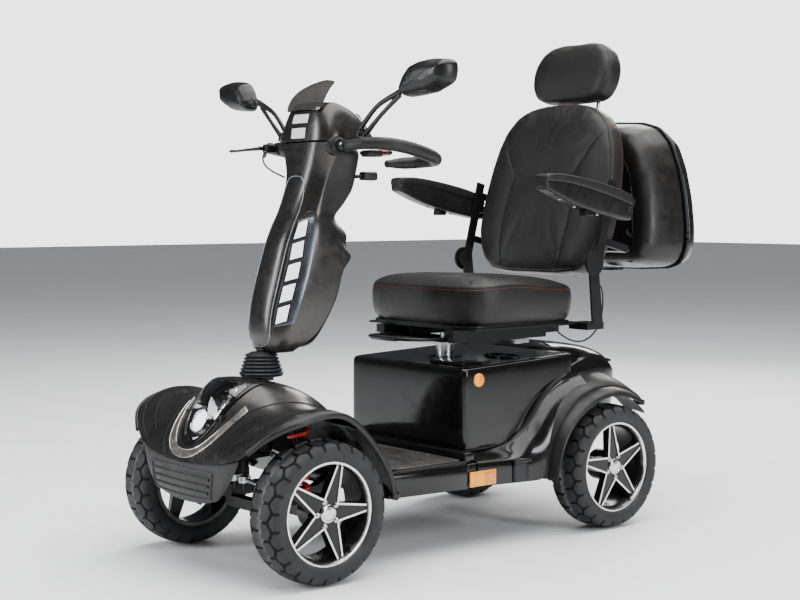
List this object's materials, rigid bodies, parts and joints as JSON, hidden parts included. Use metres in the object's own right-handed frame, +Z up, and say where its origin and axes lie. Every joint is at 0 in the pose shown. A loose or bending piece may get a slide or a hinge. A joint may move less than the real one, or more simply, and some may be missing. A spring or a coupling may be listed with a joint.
{
  "type": "mobility scooter",
  "caption": "Four-wheel mobility scooter with sprung axles, tilting tiller, delta handle loops, captain's seat on a post and a rear top case.",
  "frame": {"origin": "on the floor, at the centre of the bounding box", "axes": "+X to the rider's left, -Y to the front, +Z up"},
  "size_m": [1.012, 1.706, 1.4398],
  "materials": {
    "body_satin": "satin metallic graphite paint",
    "body_gloss": "gloss black moulded plastic",
    "bumper": "coarse grained plastic",
    "trim_silver": "champagne silver paint",
    "lens_clear": "clear moulded lens",
    "lamp_silver": "bright reflector",
    "lamp_white": "white lit lens",
    "reflector": "amber prismatic plastic",
    "tyre": "rubber",
    "rim": "black paint with machined edges",
    "steel_black": "black powder coat",
    "steel_zinc": "bright zinc plate",
    "spring_red": "red paint",
    "rubber": "moulded rubber",
    "mat": "striated rubber",
    "leatherette": "soft grained leatherette",
    "arm_plastic": "moulded plastic",
    "case_plastic": "moulded plastic",
    "screen_smoke": "smoked acrylic",
    "cable": "black sheath",
    "battery": "moulded case"
  },
  "bodies": {
    "chassis": {"frame": "steel_black", "floor_pan": "body_satin", "floor_mat": "mat", "front_cowl": "body_satin", "headlamp_housing": "lamp_silver", "headlamp_lens": "lens_clear", "nose_trim": "trim_silver", "front_bumper": "bumper", "front_fenders": "body_satin", "seat_box": "body_gloss", "batteries": "battery", "rear_fairing": "body_gloss", "rear_fenders": "body_satin", "reflectors_and_lamps": "reflector", "damper_bodies": "steel_zinc", "front_springs": "spring_red", "rear_springs": "spring_red"},
    "front_suspension": {"front_axle_beam": "steel_black"},
    "knuckle_left": {"knuckle_left": "steel_black"},
    "knuckle_right": {"knuckle_right": "steel_black"},
    "tie_rod_left": {"tie_rod_left": "steel_zinc"},
    "tie_rod_right": {"tie_rod_right": "steel_zinc"},
    "wheel_front_left": {"tyre_front_left": "tyre", "rim_front_left": "rim"},
    "wheel_front_right": {"tyre_front_right": "tyre", "rim_front_right": "rim"},
    "rear_suspension": {"rear_swing_arm": "steel_black", "transaxle": "steel_zinc"},
    "wheel_rear_left": {"tyre_rear_left": "tyre", "rim_rear_left": "rim"},
    "wheel_rear_right": {"tyre_rear_right": "tyre", "rim_rear_right": "rim"},
    "steering_stem": {"steering_stem": "steel_zinc", "steering_gaiter": "rubber"},
    "tiller": {"tiller_front_cover": "body_satin", "tiller_rear_cover": "body_satin", "tiller_column": "steel_black", "handlebar": "rubber", "windscreen": "screen_smoke", "tiller_lamps": "lamp_white", "dash_panel": "arm_plastic", "brake_cable": "cable"},
    "brake_lever": {"brake_lever": "steel_black"},
    "throttle_lever": {"throttle_lever": "arm_plastic"},
    "tilt_lever": {"tilt_lever": "arm_plastic"},
    "mirror_left": {"mirror_left": "arm_plastic"},
    "mirror_right": {"mirror_right": "arm_plastic"},
    "seat_post": {"seat_post": "steel_black"},
    "seat_swivel": {"seat_swivel": "steel_black"},
    "seat": {"seat_base": "steel_black", "seat_cushion": "leatherette", "seat_cable": "cable"},
    "seat_lever": {"seat_lever": "steel_black"},
    "seat_back": {"back_frame": "steel_black", "backrest": "leatherette", "case_body": "case_plastic"},
    "headrest": {"headrest": "leatherette"},
    "armrest_left": {"armrest_left": "arm_plastic"},
    "armrest_right": {"armrest_right": "arm_plastic"},
    "case_lid": {"case_lid": "case_plastic"}
  },
  "joints": [
    {"name": "front_suspension_swing", "type": "hinge", "parent": "chassis", "child": "front_suspension", "pos_m": [0, -0.43, 0.215], "axis": [-1, 0, 0], "range_deg": [-4, 6], "stiffness_Nm_per_rad": 4000, "springref_deg": -1.49, "deforming": ["front_springs"]},
    {"name": "rear_suspension_swing", "type": "hinge", "parent": "chassis", "child": "rear_suspension", "pos_m": [0, 0.15, 0.19], "axis": [1, 0, 0], "range_deg": [-3, 3.5], "stiffness_Nm_per_rad": 8000, "springref_deg": -1.58, "deforming": ["rear_springs"]},
    {"name": "steering_turn", "type": "hinge", "parent": "chassis", "child": "steering_stem", "pos_m": [0, -0.6, 0.4], "axis": [0, 0, 1], "range_deg": [-30, 30]},
    {"name": "kingpin_left", "type": "hinge", "parent": "front_suspension", "child": "knuckle_left", "pos_m": [0.255, -0.64, 0.18], "axis": [0, 0, 1], "range_deg": [-30, 30]},
    {"name": "kingpin_right", "type": "hinge", "parent": "front_suspension", "child": "knuckle_right", "pos_m": [-0.255, -0.64, 0.18], "axis": [0, 0, 1], "range_deg": [-30, 30]},
    {"name": "tie_rod_joint_left", "type": "hinge", "parent": "knuckle_left", "child": "tie_rod_left", "pos_m": [0.277, -0.71, 0.224], "axis": [0, 0, 1], "range_deg": [-30, 30]},
    {"name": "tie_rod_joint_right", "type": "hinge", "parent": "knuckle_right", "child": "tie_rod_right", "pos_m": [-0.277, -0.71, 0.224], "axis": [0, 0, 1], "range_deg": [-30, 30]},
    {"name": "wheel_spin_front_left", "type": "hinge", "parent": "knuckle_left", "child": "wheel_front_left", "pos_m": [0.302, -0.64, 0.18], "axis": [1, 0, 0], "continuous": true},
    {"name": "wheel_spin_front_right", "type": "hinge", "parent": "knuckle_right", "child": "wheel_front_right", "pos_m": [-0.302, -0.64, 0.18], "axis": [1, 0, 0], "continuous": true},
    {"name": "wheel_spin_rear_left", "type": "hinge", "parent": "rear_suspension", "child": "wheel_rear_left", "pos_m": [0.302, 0.4, 0.18], "axis": [1, 0, 0], "continuous": true},
    {"name": "wheel_spin_rear_right", "type": "hinge", "parent": "rear_suspension", "child": "wheel_rear_right", "pos_m": [-0.302, 0.4, 0.18], "axis": [1, 0, 0], "continuous": true},
    {"name": "tiller_tilt", "type": "hinge", "parent": "steering_stem", "child": "tiller", "pos_m": [0, -0.6, 0.525], "axis": [-1, 0, 0], "range_deg": [-12, 18], "deforming": ["steering_gaiter"]},
    {"name": "brake_squeeze", "type": "hinge", "parent": "tiller", "child": "brake_lever", "pos_m": [-0.164, -0.472, 1.09], "axis": [0, 0, -1], "range_deg": [0, 12], "stiffness_Nm_per_rad": 3, "springref_deg": -5.73},
    {"name": "throttle_turn", "type": "hinge", "parent": "tiller", "child": "throttle_lever", "pos_m": [0.12, -0.348, 1.073], "axis": [0, 0, 1], "range_deg": [-12, 12], "stiffness_Nm_per_rad": 1},
    {"name": "tilt_release", "type": "hinge", "parent": "tiller", "child": "tilt_lever", "pos_m": [0.05, -0.344, 1.012], "axis": [1, 0, 0], "range_deg": [0, 15], "stiffness_Nm_per_rad": 2, "springref_deg": -5.73},
    {"name": "mirror_turn_left", "type": "hinge", "parent": "tiller", "child": "mirror_left", "pos_m": [0.164, -0.434, 1.12], "axis": [0, 0, 1], "range_deg": [-25, 35]},
    {"name": "mirror_turn_right", "type": "hinge", "parent": "tiller", "child": "mirror_right", "pos_m": [-0.164, -0.434, 1.12], "axis": [0, 0, -1], "range_deg": [-25, 35]},
    {"name": "seat_height", "type": "slide", "parent": "chassis", "child": "seat_post", "axis": [0, 0, 1], "range_m": [0, 0.05]},
    {"name": "seat_turn", "type": "hinge", "parent": "seat_post", "child": "seat_swivel", "pos_m": [0, 0.045, 0.545], "axis": [0, 0, -1], "range_deg": [-90, 90]},
    {"name": "seat_slide", "type": "slide", "parent": "seat_swivel", "child": "seat", "axis": [0, 1, 0], "range_m": [-0.08, 0.05]},
    {"name": "seat_lever_lift", "type": "hinge", "parent": "seat", "child": "seat_lever", "pos_m": [0, 0.005, 0.5595], "axis": [-1, 0, 0], "range_deg": [0, 5], "stiffness_Nm_per_rad": 10, "springref_deg": -5.73},
    {"name": "backrest_recline", "type": "hinge", "parent": "seat", "child": "seat_back", "pos_m": [0, 0.373, 0.768], "axis": [-1, 0, 0], "range_deg": [-55, 25]},
    {"name": "headrest_height", "type": "slide", "parent": "seat_back", "child": "headrest", "axis": [0, 0.2419, 0.9703], "range_m": [0, 0.06]},
    {"name": "armrest_lift_left", "type": "hinge", "parent": "seat_back", "child": "armrest_left", "pos_m": [0.31, 0.448, 0.928], "axis": [-1, 0, 0], "range_deg": [0, 95]},
    {"name": "armrest_lift_right", "type": "hinge", "parent": "seat_back", "child": "armrest_right", "pos_m": [-0.31, 0.448, 0.928], "axis": [-1, 0, 0], "range_deg": [0, 95]},
    {"name": "case_lid_open", "type": "hinge", "parent": "seat_back", "child": "case_lid", "pos_m": [0, 0.78, 0.742], "axis": [-1, 0, 0], "range_deg": [0, 80]}
  ],
  "couplings": [
    {"joint": "kingpin_left", "follows": "steering_turn", "ratio": 1},
    {"joint": "kingpin_right", "follows": "steering_turn", "ratio": 1},
    {"joint": "tie_rod_joint_left", "follows": "steering_turn", "ratio": -1},
    {"joint": "tie_rod_joint_right", "follows": "steering_turn", "ratio": -1}
  ]
}
